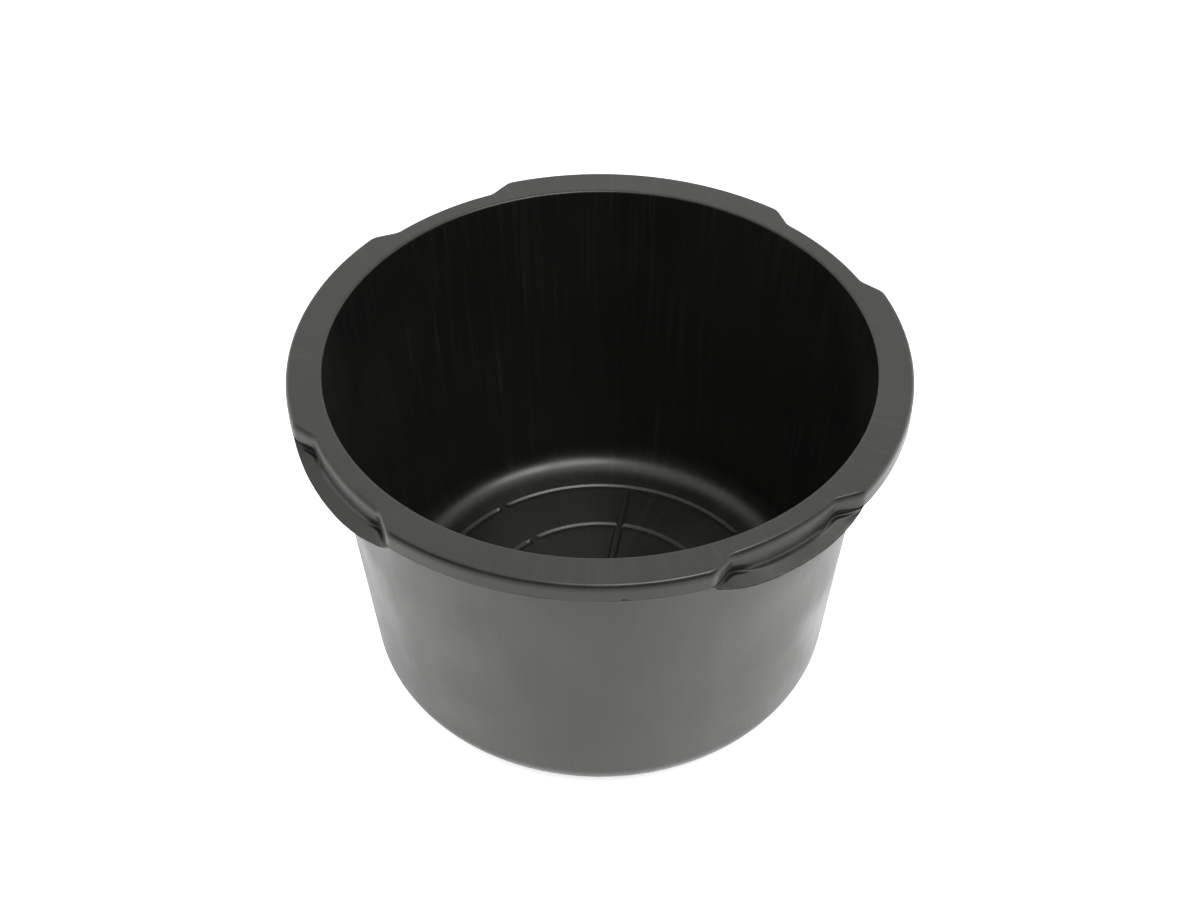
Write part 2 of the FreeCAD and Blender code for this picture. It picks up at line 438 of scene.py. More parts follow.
@dataclass(frozen=True)
class Polyethylene:
    """Black moulded polyethylene, with the grain and wear of one side of the tub."""

    name: str
    colour: tuple[float, float, float]
    roughness: float
    roughness_spread: float
    pebble_scale: float
    pebble_height: float
    swell_height: float
    bump: float
    streak_around: float
    streak_along: float
    streak_share: float
    streak_tone: float
    scuff: float
    film: float
    speck_share: float
    edge_amount: float
    sheen_tint: tuple[float, float, float]
    ior: float
    scuff_colour: tuple[float, float, float] = (0.030, 0.029, 0.028)
    dust_colour: tuple[float, float, float] = (0.055, 0.053, 0.049)
    scuff_roughness: float = 0.12
    wear_roughness: float = -0.08
    dust_roughness: float = 0.2
    streak_relief: float = 0.5
    scuff_relief: float = -0.25
    relief_height: float = 0.4 * MM

    def make(self, groups: ShaderGroups) -> Material:
        """Build the material.

        Args:
            groups: The shared surface effects.

        Returns:
            The finished material.
        """
        material = bpy.data.materials.new(self.name)
        material.use_nodes = True
        graph = Graph(material.node_tree)
        shader = material.node_tree.nodes["Principled BSDF"]
        place = graph.node("ShaderNodeTexCoord").outputs["Object"]
        edge = graph.node("ShaderNodeAttribute", attribute_name="edge").outputs["Fac"]

        grain = self._place(graph, groups.grain, place, {
            "Pebble Scale": self.pebble_scale, "Pebble Height": self.pebble_height,
            "Swell Height": self.swell_height})
        streak = self._place(graph, groups.streaks, place, {
            "Around": self.streak_around, "Along": self.streak_along})["Streak"]
        scuffs = self._place(graph, groups.scuffs, place, {"Coverage": self.scuff})["Mask"]
        specks = self._place(graph, groups.specks, place, {
            "Film": self.film, "Speck Share": self.speck_share})["Mask"]
        wear = self._place(graph, groups.wear, place, {"Amount": self.edge_amount, "Edge": edge})["Mask"]

        drawn = graph.span(streak, low=0.5, high=0.8, out_high=self.streak_tone)
        rubbed = graph.math("MAXIMUM", graph.math("MAXIMUM", scuffs, wear), drawn)
        tone = self._mix(graph, rubbed, self.colour, self.scuff_colour)
        graph.feed(shader.inputs["Base Color"], self._mix(graph, specks, tone, self.dust_colour))

        sway = graph.math("MULTIPLY_ADD", graph.math("SUBTRACT", streak, 0.5), self.streak_share,
                          graph.math("SUBTRACT", grain["Mottle"], 0.5))
        rough = graph.math("MULTIPLY_ADD", sway, self.roughness_spread, self.roughness)
        rough = graph.math("MULTIPLY_ADD", scuffs, self.scuff_roughness, rough)
        rough = graph.math("MULTIPLY_ADD", wear, self.wear_roughness, rough)
        rough = graph.math("MULTIPLY_ADD", specks, self.dust_roughness, rough, clamp=True)
        graph.feed(shader.inputs["Roughness"], rough)
        shader.inputs["IOR"].default_value = self.ior
        shader.inputs["Specular Tint"].default_value = (*self.sheen_tint, 1.0)

        relief = graph.math("MULTIPLY_ADD", streak, self.swell_height * self.streak_relief, grain["Height"])
        relief = graph.math("MULTIPLY_ADD", scuffs, self.scuff_relief, relief)
        bump = graph.node("ShaderNodeBump", {
            "Strength": self.bump, "Distance": self.relief_height, "Height": relief})
        graph.feed(shader.inputs["Normal"], bump.outputs[0])
        return material

    @staticmethod
    def _place(graph: Graph, group: NodeTree, place: NodeSocket,
               values: dict[str, object]) -> bpy.types.NodeOutputs:
        """Put one shared group in the material with its own values."""
        return graph.node("ShaderNodeGroup", {"Vector": place, **values}, node_tree=group).outputs

    @staticmethod
    def _mix(graph: Graph, share: object, first: object, second: object) -> NodeSocket:
        """Mix two colours by a mask.

        Args:
            graph: The material's graph.
            share: How much of the second colour there is.
            first: First colour, a socket or three numbers.
            second: Second colour.

        Returns:
            The mixed colour's socket.
        """
        first, second = ((*tone, 1.0) if isinstance(tone, tuple) else tone for tone in (first, second))
        feeds = {"Factor": share, "A": first, "B": second}
        return graph.node("ShaderNodeMix", feeds, data_type="RGBA").outputs["Result"]


OUTSIDE_FINISH = Polyethylene(
    name="black_plastic_grained", colour=(0.0068, 0.0066, 0.0062), roughness=0.34,
    roughness_spread=0.12, pebble_scale=850.0, pebble_height=0.45, swell_height=0.6, bump=0.28,
    streak_around=60.0, streak_along=5.0, streak_share=0.9, streak_tone=0.35, scuff=0.1, film=0.06,
    speck_share=0.008, edge_amount=0.3, sheen_tint=(1.0, 1.0, 0.95), ior=1.475)
# The inside is the same black plastic, but its colour is set about half the outside's: painted shade that
# darkens the inside of the tub.
INSIDE_FINISH = Polyethylene(
    name="black_plastic_smooth", colour=(0.0032, 0.0034, 0.0022), roughness=0.13,
    roughness_spread=0.04, pebble_scale=600.0, pebble_height=0.10, swell_height=0.7, bump=0.20,
    streak_around=18.0, streak_along=2.5, streak_share=0.8, streak_tone=0.0, scuff=0.0, film=0.05,
    speck_share=0.012, edge_amount=0.25, sheen_tint=(1.0, 1.0, 0.72), ior=1.51)


# ---------------------------------------------------------------------------------------------
# Meshes
# ---------------------------------------------------------------------------------------------


def finish_piece(piece: Object, materials: list[Material], *nodes: str,
                 slot: str = "black_plastic") -> Object:
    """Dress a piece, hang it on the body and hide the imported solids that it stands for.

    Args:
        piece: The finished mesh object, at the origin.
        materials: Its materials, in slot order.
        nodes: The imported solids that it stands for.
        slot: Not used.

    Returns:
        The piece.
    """
    piece.data.materials.clear()
    for material in materials:
        piece.data.materials.append(material)
    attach(piece, BODY)
    if nodes:
        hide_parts(*nodes)
    LOG.info("%s: %d faces", piece.name, len(piece.data.polygons))
    return piece


def link_object(name: str, data: bpy.types.ID) -> Object:
    """Make an object and link it to the scene.

    Args:
        name: The object's name.
        data: The mesh, light or camera that it shows.

    Returns:
        The object.
    """
    made = bpy.data.objects.new(name, data)
    bpy.context.scene.collection.objects.link(made)
    return made


def link_mesh(name: str, points: np.ndarray, faces: list[tuple[int, ...]],
              edges: list[tuple[int, int]] | None = None) -> Object:
    """Make an object from plain arrays.

    Args:
        name: Name for the object and its mesh.
        points: One row of X, Y and Z for each vertex.
        faces: Vertex numbers of each face.
        edges: Vertex numbers of each edge of a mesh without faces.

    Returns:
        The new object, linked to the scene.
    """
    mesh = bpy.data.meshes.new(name)
    mesh.from_pydata(points.tolist(), edges or [], faces)
    return link_object(name, mesh)


def ring_edges(count: int) -> list[tuple[int, int]]:
    """Edges that join a number of points into a closed loop."""
    return [(index, (index + 1) % count) for index in range(count)]


def mark_joint_faces(mesh: Mesh) -> None:
    """Shade a region smooth, but flat and sharp where it meets the next region.

    Args:
        mesh: A mesh whose points carry the joint attribute, 1 on a meeting face's corners.
    """
    joint = np.zeros(len(mesh.vertices), np.float32)
    mesh.attributes["joint"].data.foreach_get("value", joint)
    hidden = [all(joint[v] > 0.5 for v in face.vertices) for face in mesh.polygons]
    mesh.polygons.foreach_set("use_smooth", [not flag for flag in hidden])
    sharp: dict[tuple[int, int], set[bool]] = {}
    for face, flag in zip(mesh.polygons, hidden):
        for key in face.edge_keys:
            sharp.setdefault(key, set()).add(flag)
    for edge in mesh.edges:
        edge.use_edge_sharp = len(sharp.get(edge.key, ())) > 1


def set_point_values(mesh: Mesh, name: str, values: np.ndarray) -> None:
    """Store one number for each point of a mesh.

    Args:
        mesh: The mesh.
        name: Attribute name.
        values: One value for each point.
    """
    attribute = mesh.attributes.get(name) or mesh.attributes.new(name, "FLOAT", "POINT")
    attribute.data.foreach_set("value", np.asarray(values, np.float32).ravel())


@dataclass
class Outline:
    """Closed cross-section: points in radius and height, with what each point is."""

    radii: list[float] = field(default_factory=list)
    heights: list[float] = field(default_factory=list)
    joint: list[float] = field(default_factory=list)
    inside: list[float] = field(default_factory=list)
    edge: list[float] = field(default_factory=list)

    def add(self, radius: float, height: float, joint: bool = False, inside: bool = False,
            edge: float = 0.0) -> None:
        """Add one point.

        Args:
            radius: Distance from the centre line.
            height: Height above the ground.
            joint: Whether it is a corner of a face that meets the next region.
            inside: Whether the stretch that starts here is on the inside of the tub.
            edge: How much of a rubbed edge it is, from 0 to 1.
        """
        self.radii.append(radius)
        self.heights.append(height)
        self.joint.append(float(joint))
        self.inside.append(float(inside))
        self.edge.append(edge)

    def add_line(self, first: tuple[float, float], last: tuple[float, float], steps: int,
                 inside: bool = False) -> None:
        """Add the points of a straight stretch, without its first and last point.

        Args:
            first: Radius and height where the stretch starts.
            last: Radius and height where it ends.
            steps: Number of steps in it.
            inside: Whether it is on the inside of the tub.
        """
        for index in range(1, steps):
            share = index / steps
            self.add(first[0] + (last[0] - first[0]) * share,
                     first[1] + (last[1] - first[1]) * share, inside=inside)

    def add_arc(self, centre: tuple[float, float], radius: float, start: float, end: float,
                steps: int, inside: bool = False, edge: float = 0.0) -> None:
        """Add the points of an arc, ends and all.

        Args:
            centre: Radius and height of its centre.
            radius: Its own radius.
            start: First angle, from the outward direction.
            end: Last angle.
            steps: Number of steps in it.
            inside: Whether it is on the inside of the tub.
            edge: How much of a rubbed edge it is.
        """
        for index in range(steps + 1):
            angle = start + (end - start) * index / steps
            self.add(centre[0] + radius * math.cos(angle), centre[1] + radius * math.sin(angle),
                     inside=inside, edge=edge)


class Lathe:
    """Geometry Nodes tree that turns an outline about the centre line."""

    CARRIED = ("joint", "inside", "edge")
    MERGE_DISTANCE = 0.001 * MM

    def __init__(self, materials: list[Material]) -> None:
        """Build the tree.

        Args:
            materials: The outside and the inside finish.
        """
        self.materials = materials
        self.tree = self._build()

    def _build(self) -> NodeTree:
        """Make the tree: a grid, rolled up round the centre line on the outline's points.

        Returns:
            The tree.
        """
        graph, given, out = new_group(
            "lathe", "GeometryNodeTree",
            [("Outline", GEOMETRY, None), ("Turns", COUNT, 720), ("Wave Height", FLOAT, 0.0),
             ("Wave Scale", FLOAT, 6.0), ("Inside Finish", MATERIAL, None),
             ("Outside Finish", MATERIAL, None)],
            [("Mesh", GEOMETRY)])
        turns = given["Turns"]
        size = graph.node("GeometryNodeAttributeDomainSize", {0: given["Outline"]})
        points = size.outputs["Point Count"]
        rows = graph.math("ADD", points, 1.0)
        grid = graph.node("GeometryNodeMeshGrid", {
            "Vertices X": graph.math("ADD", turns, 1.0), "Vertices Y": rows})

        index = graph.node("GeometryNodeInputIndex").outputs[0]
        column = graph.math("FLOOR", graph.math("DIVIDE", graph.math("ADD", index, 0.5), rows))
        row = graph.math("SUBTRACT", index, graph.math("MULTIPLY", column, rows))
        past_end = graph.math("GREATER_THAN", row, graph.math("SUBTRACT", points, 0.5))
        on_outline = graph.math("SUBTRACT", row, graph.math("MULTIPLY", points, past_end))
        before_end = graph.math("LESS_THAN", column, graph.math("SUBTRACT", turns, 0.5))
        column = graph.math("MULTIPLY", column, before_end)
        angle = graph.math("MULTIPLY", column, graph.math("DIVIDE", math.tau, turns))

        def sample(value: NodeSocket, kind: str = "FLOAT") -> NodeSocket:
            """Take a value from the outline's point that a grid point lies on."""
            feeds = {"Geometry": given["Outline"], "Value": value, "Index": on_outline}
            return graph.node("GeometryNodeSampleIndex", feeds, data_type=kind, domain="POINT").outputs[0]

        place = graph.node("GeometryNodeInputPosition").outputs[0]
        section = graph.parts(sample(place, "FLOAT_VECTOR"))
        ring = graph.combine(graph.math("COSINE", angle), graph.math("SINE", angle))
        lift = graph.combine(z=section[2])
        swell = graph.noise(graph.vector("ADD", ring, lift), given["Wave Scale"], detail=1.0)
        swell = graph.math("MULTIPLY", graph.math("SUBTRACT", swell, 0.5), sample(graph.named("sway")))
        swell = graph.math("MULTIPLY", swell, given["Wave Height"])
        outward = graph.vector("SCALE", ring, graph.math("ADD", section[0], swell))
        mesh = graph.node("GeometryNodeSetPosition", {
            "Geometry": grid.outputs["Mesh"], "Position": graph.vector("ADD", outward, lift)}).outputs[0]
        for name in self.CARRIED:
            feeds = {"Geometry": mesh, "Name": name, "Value": sample(graph.named(name))}
            mesh = graph.node("GeometryNodeStoreNamedAttribute", feeds, data_type="FLOAT",
                              domain="POINT").outputs[0]
        mesh = graph.node("GeometryNodeMergeByDistance", {
            "Geometry": mesh, "Distance": self.MERGE_DISTANCE}).outputs[0]
        mesh = graph.dress(graph.realize(mesh), given["Outside Finish"])
        lining = graph.math("GREATER_THAN", graph.named("inside"), 0.9)
        graph.feed(out["Mesh"], graph.dress(mesh, given["Inside Finish"], lining))
        return graph.tree

    def turn(self, name: str, outline: Outline, turns: int = 720, wave: float = 0.0,
             sway: list[float] | None = None) -> Object:
        """Turn an outline into a finished mesh.

        Args:
            name: The piece's name.
            outline: Closed cross-section, outer side going up.
            turns: Number of steps round the tub.
            wave: Height of the unevenness, in metres.
            sway: How much of the unevenness each outline point takes.

        Returns:
            The piece, as a plain mesh.
        """
        count = len(outline.radii)
        points = np.stack([outline.radii, np.zeros(count), outline.heights], 1)
        piece = link_mesh(name, points, [], ring_edges(count))
        for label in self.CARRIED:
            set_point_values(piece.data, label, np.array(getattr(outline, label)))
        set_point_values(piece.data, "sway", np.array(sway or [0.0] * count))
        apply_tree(piece, self.tree, {"Turns": turns, "Wave Height": wave,
                                      "Outside Finish": self.materials[0],
                                      "Inside Finish": self.materials[1]})
        order_materials(piece.data, self.materials)
        mark_joint_faces(piece.data)
        return piece


def apply_tree(piece: Object, tree: NodeTree, inputs: dict[str, object]) -> None:
    """Run a Geometry Nodes tree on a piece and keep the result as its plain mesh.

    Args:
        piece: Object that holds the tree's input mesh.
        tree: The tree.
        inputs: Input names and their values.
    """
    modifier = piece.modifiers.new("shape", "NODES")
    modifier.node_group = tree
    for item in tree.interface.items_tree:
        if item.item_type == "SOCKET" and item.in_out == "INPUT" and item.name in inputs:
            modifier[item.identifier] = inputs[item.name]
    scene_graph = bpy.context.evaluated_depsgraph_get()
    made = bpy.data.meshes.new_from_object(piece.evaluated_get(scene_graph))
    piece.modifiers.remove(modifier)
    old = piece.data
    piece.data = made
    bpy.data.meshes.remove(old)
    made.name = piece.name


def order_materials(mesh: Mesh, materials: list[Material]) -> None:
    """Give a mesh its materials in the order that the Face options say.

    Args:
        mesh: The mesh, whose faces already have materials.
        materials: The outside and the inside finish.
    """
    places = {slot.name: index for index, slot in enumerate(materials)}
    names = [slot.name if slot else materials[0].name for slot in mesh.materials]
    numbers = [places[names[face.material_index]] if names else 0 for face in mesh.polygons]
    mesh.materials.clear()
    for material in materials:
        mesh.materials.append(material)
    mesh.polygons.foreach_set("material_index", numbers)


# ---------------------------------------------------------------------------------------------
# Turned regions
# ---------------------------------------------------------------------------------------------


@dataclass
class TurnedRegions:
    """Base bend, side wall and the two rings that the tub stands on."""

    sizes: TubSizes
    lathe: Lathe
    margin: float = 2 * MM
    cove: float = 4 * MM
    cove_gap: float = 0.05
    cove_steps: int = 6
    rib_round: float = 1.2 * MM
    rib_round_steps: int = 4
    rib_steps: int = 6
    rib_rub: float = 0.8
    rib_turns: int = 360
    wall_steps: int = 44
    bend_steps: int = 26
    wave: float = 0.9 * MM

    def bend_end(self, radius: float, margin: float) -> tuple[float, float]:
        """Where the bend's arc of a radius passes into the wall, with a margin up the wall.

        Args:
            radius: The arc's radius.
            margin: Distance up the wall from the arc's end.

        Returns:
            Radius and height of the place.
        """
        centre_r, centre_z = self.sizes.bend_centre
        draft = self.sizes.draft
        return (centre_r + radius * math.cos(draft) + margin * math.sin(draft),
                centre_z - radius * math.sin(draft) + margin * math.cos(draft))

    def make_base_bend(self) -> Object:
        """Build the round bend that joins the floor to the wall.

        Returns:
            The piece.
        """
        sizes = self.sizes
        inner_r = sizes.bend_inner_r
        outer_r = inner_r + sizes.wall_thickness
        outline = Outline()
        outline.add(sizes.floor_r - self.margin, sizes.floor_underside, joint=True)
        outline.add_arc(sizes.bend_centre, outer_r, -math.pi / 2, -sizes.draft, self.bend_steps)
        outline.add(*self.bend_end(outer_r, self.margin), joint=True)
        outline.add(*self.bend_end(inner_r, self.margin), joint=True, inside=True)
        outline.add_arc(sizes.bend_centre, inner_r, -sizes.draft, -math.pi / 2, self.bend_steps,
                        inside=True)
        outline.add(sizes.floor_r - self.margin, sizes.floor_top, joint=True, inside=True)
        return self.lathe.turn("base_bend_shell", outline)

    def make_side_wall(self) -> Object:
        """Build the tapered wall, slightly uneven, with a cove where it meets the rim.

        Returns:
            The piece.
        """
        sizes = self.sizes
        top = sizes.rim_underside
        outer_low = self.bend_end(sizes.bend_inner_r + sizes.wall_thickness, self.margin)
        inner_low = self.bend_end(sizes.bend_inner_r, self.margin)
        cove_z = top - self.cove
        cove_r = sizes.wall_outer_r(cove_z) + self.cove / math.cos(sizes.draft)
        outline = Outline()
        outline.add(*outer_low, joint=True)
        outline.add_line(outer_low, (sizes.wall_outer_r(cove_z), cove_z), self.wall_steps)
        outline.add_arc((cove_r, cove_z), self.cove, math.pi - sizes.draft,
                        math.pi / 2 + self.cove_gap, self.cove_steps)
        outline.add(cove_r, top, joint=True)
        inner_top = (sizes.wall_inner_r(top), top)
        outline.add(*inner_top, joint=True, inside=True)
        outline.add_line(inner_top, inner_low, self.wall_steps, inside=True)
        outline.add(*inner_low, joint=True, inside=True)
        middle = (inner_low[1] + top) / 2
        half = (top - inner_low[1]) / 2 - 2 * self.cove
        sway = [max(0.0, 1 - ((z - middle) / half) ** 2) ** 2 for z in outline.heights]
        return self.lathe.turn("side_wall_shell", outline, wave=self.wave, sway=sway)

    def make_foot_ring(self, name: str, radius: float) -> Object:
        """Build one ring of the underside, with its lower edges rounded.

        Args:
            name: The piece's name.
            radius: The ring's middle radius.

        Returns:
            The piece.
        """
        sizes = self.sizes
        half = sizes.rib_width / 2
        corner = self.rib_round
        steps = self.rib_round_steps
        outline = Outline()
        outline.add(radius - half, sizes.floor_underside, joint=True)
        outline.add_arc((radius - half + corner, corner), corner, math.pi, 1.5 * math.pi, steps,
                        edge=self.rib_rub)
        outline.add_line((radius - half, 0), (radius + half, 0), self.rib_steps)
        outline.add_arc((radius + half - corner, corner), corner, 1.5 * math.pi, math.tau, steps,
                        edge=self.rib_rub)
        outline.add(radius + half, sizes.floor_underside, joint=True)
        return self.lathe.turn(name, outline, turns=self.rib_turns)


# ---------------------------------------------------------------------------------------------
# Floor
# ---------------------------------------------------------------------------------------------


def smooth_step(value: np.ndarray) -> np.ndarray:
    """Ease a value from 0 to 1."""
    clipped = np.clip(value, 0.0, 1.0)
    return clipped * clipped * (3 - 2 * clipped)


@dataclass
class FloorPanel:
    """Floor with two ring grooves, parted by lands, and four spoke grooves."""

    sizes: TubSizes
    ring_bed: float = 1.2 * MM
    spoke_bed: float = 2.6 * MM
    groove_bank: float = 3.7 * MM
    groove_depth: float = 2.1 * MM
    toe_share: float = 0.12
    brow_share: float = 0.52
    land_width: float = 10 * MM
    land_run: float = 3 * MM
    centre_r: float = 8 * MM
    centre_drop: float = 0.6
    margin: float = 2 * MM
    bank_stops: tuple[float, ...] = (0.0, 0.06, 0.12, 0.3, 0.48, 0.6, 0.72, 0.86, 1.0)
    bank_rows: int = 13
    field_rows: tuple[int, int, int] = (20, 12, 6)
    field_columns: int = 24
    bunch_reach: float = 0.36

    def groove(self, offset: np.ndarray, bed: float) -> np.ndarray:
        """Depth share of a groove: a flat bed, a short toe, a straight bank and a long eased brow.

        Args:
            offset: Distance from the groove's middle line.
            bed: Half the width of the flat bed.

        Returns:
            1 on the bed, 0 on the floor.
        """
        toe, brow = self.toe_share, self.brow_share
        up = np.clip((np.abs(offset) - bed) / self.groove_bank, 0.0, 1.0)
        whole = 1 - (toe + brow) / 2
        rise = np.where(up < toe, up * up / (2 * toe), up - toe / 2)
        rise = np.where(up > 1 - brow, whole - (1 - up) ** 2 / (2 * brow), rise)
        return 1 - rise / whole

    def columns(self, radius: float) -> np.ndarray:
        """Angles of the mesh's columns at a radius, bunched along the spokes and lands.

        Args:
            radius: Radius of the row.

        Returns:
            Increasing angles, the same number for every radius.
        """
        step = self.sizes.grip_step
        bank = self.spoke_bed + np.array(self.bank_stops) * self.groove_bank
        near = np.concatenate([[0.0, 0.5 * self.spoke_bed], bank])
        near = np.concatenate([-near[:0:-1], near])
        reach = min(1.0, self.bunch_reach * step * radius / near[-1])
        offsets = np.arcsin(np.clip(near * reach / radius, -0.99, 0.99))
        centres = [index * step / 2 for index in range(2 * self.sizes.grip_count)]
        angles = []
        for centre, after in zip(centres, [*centres[1:], math.tau]):
            angles.extend(centre + offsets)
            angles.extend(np.linspace(centre + offsets[-1], after + offsets[0], self.field_columns)[1:-1])
        return np.array(angles)

    def rows(self) -> np.ndarray:
        """Radii of the mesh's rows, bunched at the ring grooves.

        Returns:
            Increasing radii.
        """
        sizes = self.sizes
        bank = self.ring_bed + np.linspace(0, 1, self.bank_rows) * self.groove_bank
        bunch = np.concatenate([-bank[::-1], [0.0], bank])
        inner, outer = sizes.ring_inner_r + bunch, sizes.ring_outer_r + bunch
        first, second, third = self.field_rows
        return np.concatenate([
            np.linspace(self.centre_r, inner[0], first)[:-1], inner,
            np.linspace(inner[-1], outer[0], second)[1:-1], outer,
            np.linspace(outer[-1], sizes.floor_r - self.margin, third)[1:]])

    def depth(self, radius: float, angles: np.ndarray) -> np.ndarray:
        """Depth share, from 0 on the floor to 1 in a groove, along a row.

        Args:
            radius: Radius of the row.
            angles: Its columns' angles.

        Returns:
            The depth share of each column.
        """
        sizes = self.sizes
        step = sizes.grip_step

        def across(turn: float) -> np.ndarray:
            """Distance from the nearest of the lines that start at an angle."""
            return radius * np.sin((angles - turn + step / 2) % step - step / 2)

        land = np.abs(across(0.0)) - self.land_width / 2
        kept = smooth_step(land / self.land_run + 0.5)
        rings = np.zeros_like(angles)
        for ring_r in (sizes.ring_inner_r, sizes.ring_outer_r):
            ring = self.groove(np.full_like(angles, radius - ring_r), self.ring_bed)
            rings = np.maximum(rings, ring * kept)
        spokes = self.groove(across(step / 2), self.spoke_bed) * (radius < sizes.ring_outer_r)
        return np.maximum(rings, spokes)

    def make(self) -> Object:
        """Build the floor as one closed solid.

        Returns:
            The piece.
        """
        sizes = self.sizes
        rows = self.rows()
        across = len(self.columns(rows[0]))
        points = [(0.0, 0.0, sizes.floor_top - self.groove_depth)]
        for radius in rows:
            angles = self.columns(radius)
            drop = self.depth(radius, angles) * self.groove_depth
            if radius == rows[0]:
                drop = np.maximum(drop, self.groove_depth * self.centre_drop)
            for angle, low in zip(angles, drop):
                points.append((radius * math.cos(angle), radius * math.sin(angle), sizes.floor_top - low))
        rim_start = 1 + (len(rows) - 1) * across
        under_start = len(points)
        points.extend((x, y, sizes.floor_underside) for x, y, _ in points[rim_start:under_start])
        middle = len(points)
        points.append((0.0, 0.0, sizes.floor_underside))
        faces: list[tuple[int, ...]] = []
        for column, beside in ring_edges(across):
            faces.append((0, 1 + column, 1 + beside))
            for base in range(1, rim_start, across):
                faces.append((base + column, base + across + column, base + across + beside,
                              base + beside))
            faces.append((rim_start + column, under_start + column, under_start + beside,
                          rim_start + beside))
            faces.append((under_start + column, middle, under_start + beside))
        piece = link_mesh("floor_panel_shell", np.array(points), faces)
        joint = np.zeros(len(points))
        joint[rim_start:middle] = 1.0
        set_point_values(piece.data, "joint", joint)
        set_point_values(piece.data, "edge", np.zeros(len(points)))
        mark_joint_faces(piece.data)
        numbers = [Face.INSIDE.value if face.normal.z > 0.1 else Face.OUTSIDE.value
                   for face in piece.data.polygons]
        for _ in Face:
            piece.data.materials.append(None)
        piece.data.polygons.foreach_set("material_index", numbers)
        return piece


@dataclass
class FootSpokes:
    """Spokes of the underside, laid out round the centre by a Geometry Nodes tree."""

    sizes: TubSizes
    material: Material
    corner: float = 1.2 * MM
    corner_steps: int = 4
    least_reach: float = 4 * MM

    def bar(self, name: str, plan: list[tuple[float, float]]) -> Object:
        """Build one bar over a plan, its lower edges rounded.

        Args:
            name: Name for the bar's object.
            plan: Its corners seen from above, anticlockwise.

        Returns:
            The bar.
        """
        centre = np.mean(plan, axis=0)
        levels = [(0.0, self.sizes.floor_underside)]
        for angle in np.linspace(0, math.pi / 2, self.corner_steps + 1):
            levels.append((self.corner * (1 - math.cos(angle)), self.corner * (1 - math.sin(angle))))
        points = []
        for inset, z in levels:
            for corner in plan:
                reach = np.array(corner) - centre
                scale = 1 - inset / np.maximum(np.abs(reach), self.least_reach)
                points.append((*(centre + reach * scale), z))
        count = len(plan)
        last = len(points) - count
        faces: list[tuple[int, ...]] = [tuple(range(count))]
        for base in range(0, last, count):
            for corner, beside in ring_edges(count):
                faces.append((base + corner, base + count + corner, base + count + beside, base + beside))
        faces.append(tuple(reversed(range(last, last + count))))
        return link_mesh(name, np.array(points), faces)

    @staticmethod
    def tree() -> NodeTree:
        """Make the tree that repeats a bar round the centre.

        Returns:
            The tree.
        """
        graph, given, out = new_group(
            "bars_round_centre", "GeometryNodeTree",
            [("Bar", GEOMETRY, None), ("Count", COUNT, 4), ("First Turn", FLOAT, 0.0),
             ("Finish", MATERIAL, None)],
            [("Mesh", GEOMETRY)])
        spots = graph.node("GeometryNodeMeshLine", {"Count": given["Count"], "Offset": (0.0, 0.0, 0.0)},
                           mode="OFFSET")
        index = graph.node("GeometryNodeInputIndex").outputs[0]
        step = graph.math("DIVIDE", math.tau, given["Count"])
        angle = graph.math("MULTIPLY_ADD", index, step, given["First Turn"])
        copies = graph.node("GeometryNodeInstanceOnPoints", {
            "Points": spots.outputs["Mesh"], "Instance": given["Bar"],
            "Rotation": graph.combine(z=angle)}).outputs[0]
        graph.feed(out["Mesh"], graph.dress(graph.realize(copies), given["Finish"]))
        return graph.tree

    def make(self) -> Object:
        """Build the four spokes, each parted by the inner ring.

        Returns:
            The piece.
        """
        sizes = self.sizes
        half = sizes.rib_width / 2
        short_end = math.sqrt((sizes.ring_inner_r - half) ** 2 - half ** 2)
        long_start = sizes.ring_inner_r + half
        long_end = math.sqrt((sizes.ring_outer_r - half) ** 2 - half ** 2)
        inner = self.bar("foot_spokes_shell", [(0.0, 0.0), (half, -half), (short_end, -half),
                                               (short_end, half), (half, half)])
        outer = self.bar("foot_spokes_outer", [(long_start, -half), (long_end, -half),
                                               (long_end, half), (long_start, half)])
        tree = self.tree()
        for part in (inner, outer):
            apply_tree(part, tree, {"Count": sizes.grip_count, "First Turn": sizes.grip_step / 2,
                                    "Finish": self.material})
        with bpy.context.temp_override(active_object=inner, selected_editable_objects=[inner, outer]):
            bpy.ops.object.join()
        set_point_values(inner.data, "edge", np.zeros(len(inner.data.vertices)))
        return inner


# ---------------------------------------------------------------------------------------------
# Rim
# ---------------------------------------------------------------------------------------------


@dataclass(frozen=True)
class Nick:
    """A bite out of the skirt's trimmed edge."""

    angle: float
    depth: float
    width: float


@dataclass(frozen=True)
class Section:
    """Closed cross-section at one angle: radius and height, joint and edge value of each point."""

    points: np.ndarray
    joint: np.ndarray
    edge: np.ndarray


